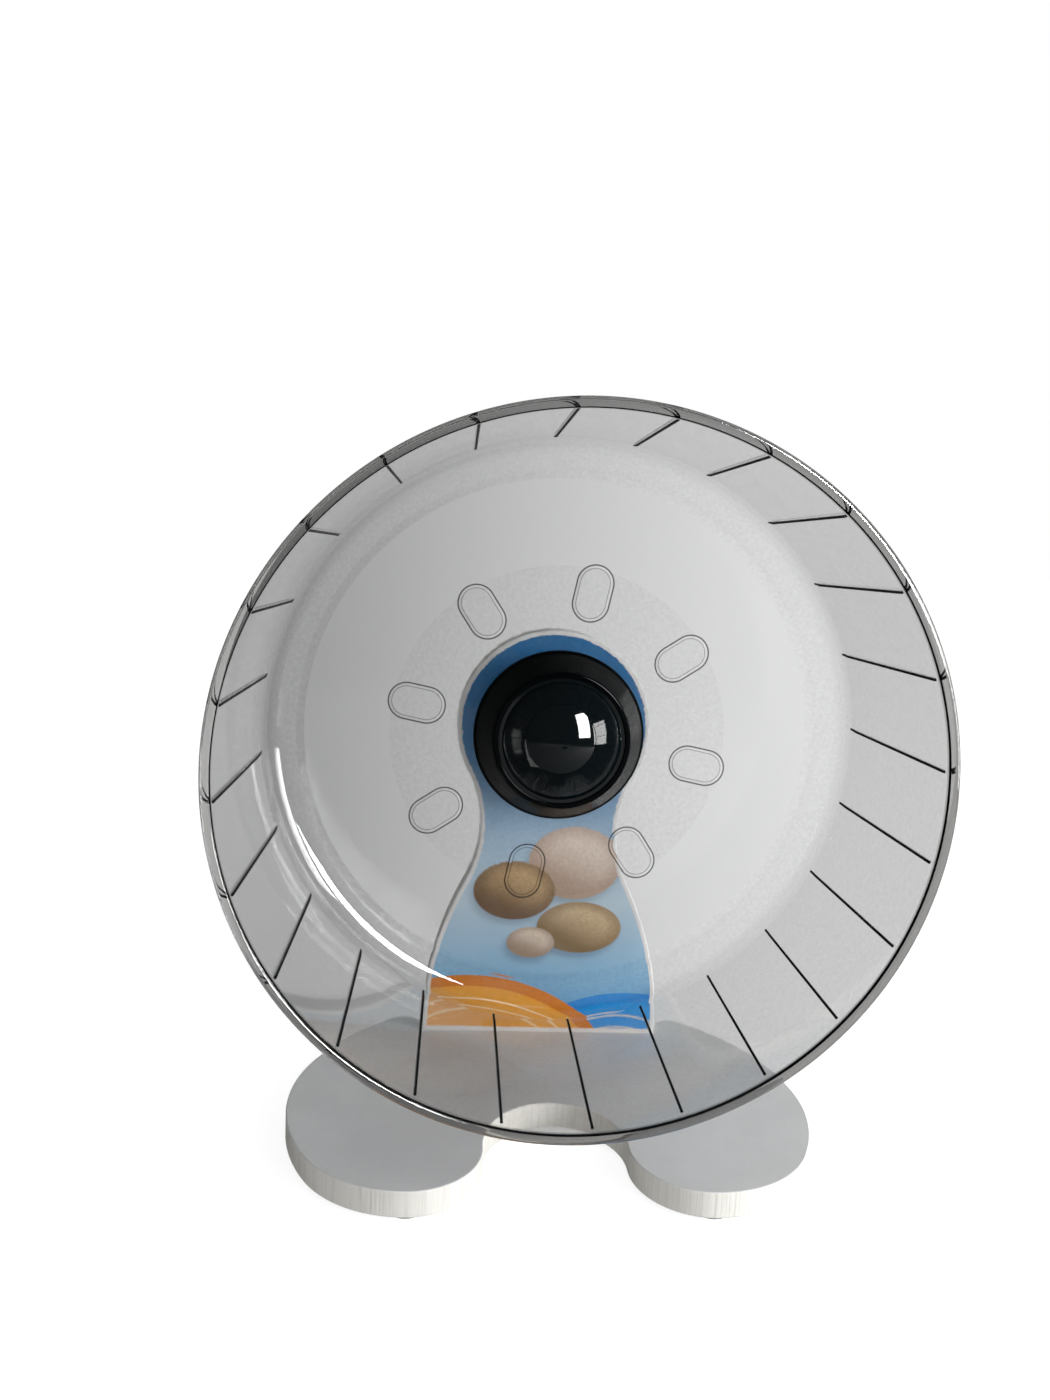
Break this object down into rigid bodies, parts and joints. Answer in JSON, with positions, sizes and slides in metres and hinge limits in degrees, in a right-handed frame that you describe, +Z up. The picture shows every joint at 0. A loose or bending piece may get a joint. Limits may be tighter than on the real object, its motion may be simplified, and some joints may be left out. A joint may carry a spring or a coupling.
{
  "type": "rodent exercise wheel",
  "caption": "Free-standing running wheel for small pets: a clear open-front drum with traction ribs turns on ball bearings in front of a keyhole-shaped upright seated in the back of a lobed base.",
  "frame": {"origin": "on the floor under the middle of the object: the bottom centre of its box", "axes": "+Z up; -Y is the open front of the drum; +X to the right seen from the front; the axle lies along Y at X = 0"},
  "size_m": [0.3, 0.1652, 0.3375],
  "materials": {
    "clear_plastic": "clear moulded polystyrene, polished",
    "black_plastic": "black moulded plastic, polished",
    "plated_steel": "zinc plated",
    "bearing_steel": "ground and polished",
    "white_board": "white foamed plastic sheet, satin skin and sawn edges",
    "printed_sheet": "printed self-adhesive film, satin",
    "pad_rubber": "soft anti-slip pad"
  },
  "bodies": {
    "stand": {"base_board": "white_board", "upright_board": "white_board", "front_label": "printed_sheet", "stand_screws": "plated_steel", "foot_pads": "pad_rubber", "axle_bolt": "plated_steel", "back_washer": "plated_steel", "front_washer": "plated_steel", "clamp_nut": "plated_steel", "axle_collar": "plated_steel", "rear_inner_race": "bearing_steel", "race_spacer": "plated_steel", "front_inner_race": "bearing_steel", "lock_washer": "plated_steel", "lock_nut": "plated_steel"},
    "wheel": {"drum": "clear_plastic", "hub_housing": "black_plastic", "hub_cap": "black_plastic", "hub_rear_plate": "black_plastic", "hub_screws": "plated_steel", "front_outer_race": "bearing_steel", "front_shields": "bearing_steel", "rear_outer_race": "bearing_steel", "rear_shields": "bearing_steel"},
    "front_ball_set": {"front_balls": "bearing_steel", "front_cage": "bearing_steel"},
    "rear_ball_set": {"rear_balls": "bearing_steel", "rear_cage": "bearing_steel"}
  },
  "joints": [
    {"name": "wheel_spin", "type": "hinge", "parent": "stand", "child": "wheel", "pos_m": [0, 0, 0.1875], "axis": [0, 1, 0], "continuous": true},
    {"name": "front_balls_spin", "type": "hinge", "parent": "stand", "child": "front_ball_set", "pos_m": [0, 0.02885, 0.1875], "axis": [0, 1, 0], "continuous": true},
    {"name": "rear_balls_spin", "type": "hinge", "parent": "stand", "child": "rear_ball_set", "pos_m": [0, 0.04985, 0.1875], "axis": [0, 1, 0], "continuous": true}
  ],
  "couplings": [
    {"joint": "front_balls_spin", "follows": "wheel_spin", "ratio": 0.63227},
    {"joint": "rear_balls_spin", "follows": "wheel_spin", "ratio": 0.63227}
  ]
}
